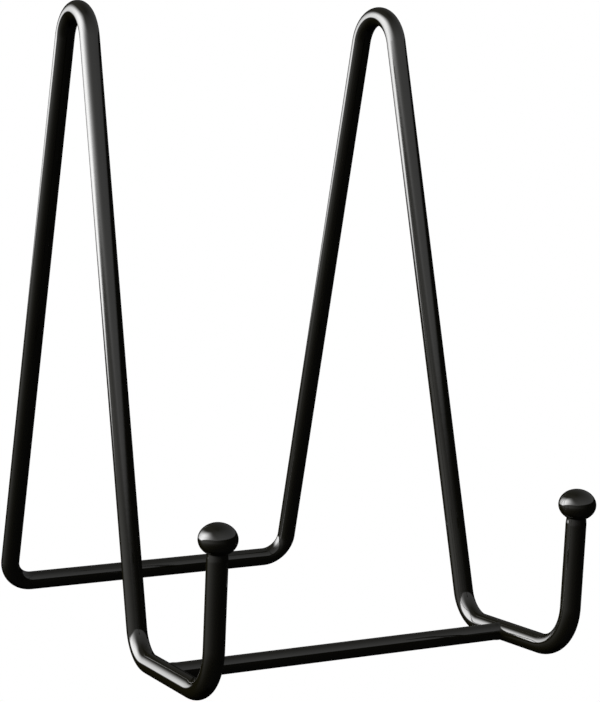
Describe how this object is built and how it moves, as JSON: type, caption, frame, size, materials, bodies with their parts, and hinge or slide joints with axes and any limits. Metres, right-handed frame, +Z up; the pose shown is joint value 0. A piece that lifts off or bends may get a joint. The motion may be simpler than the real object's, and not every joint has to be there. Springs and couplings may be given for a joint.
{
  "type": "photo album stand",
  "caption": "Bent-rod easel stand with two A-shaped sides, forward feet and upturned ball-tipped hooks that hold an album or plate leaning back.",
  "frame": {"origin": "on the table, under the middle of the stand's box", "axes": "+Z up; -Y to the front, where the hooks are; +X to the viewer's right"},
  "size_m": [0.1078, 0.1562, 0.1659],
  "materials": {
    "rod_coat": "smooth glossy black coating on a steel rod",
    "bar_coat": "smooth glossy black coating on a thinner steel rod",
    "ball_coat": "smooth glossy black coating on a steel ball end"
  },
  "bodies": {
    "root": {"frame_wire": "rod_coat", "front_cross_bar": "bar_coat", "ball_end_left": "ball_coat", "ball_end_right": "ball_coat"}
  },
  "joints": []
}
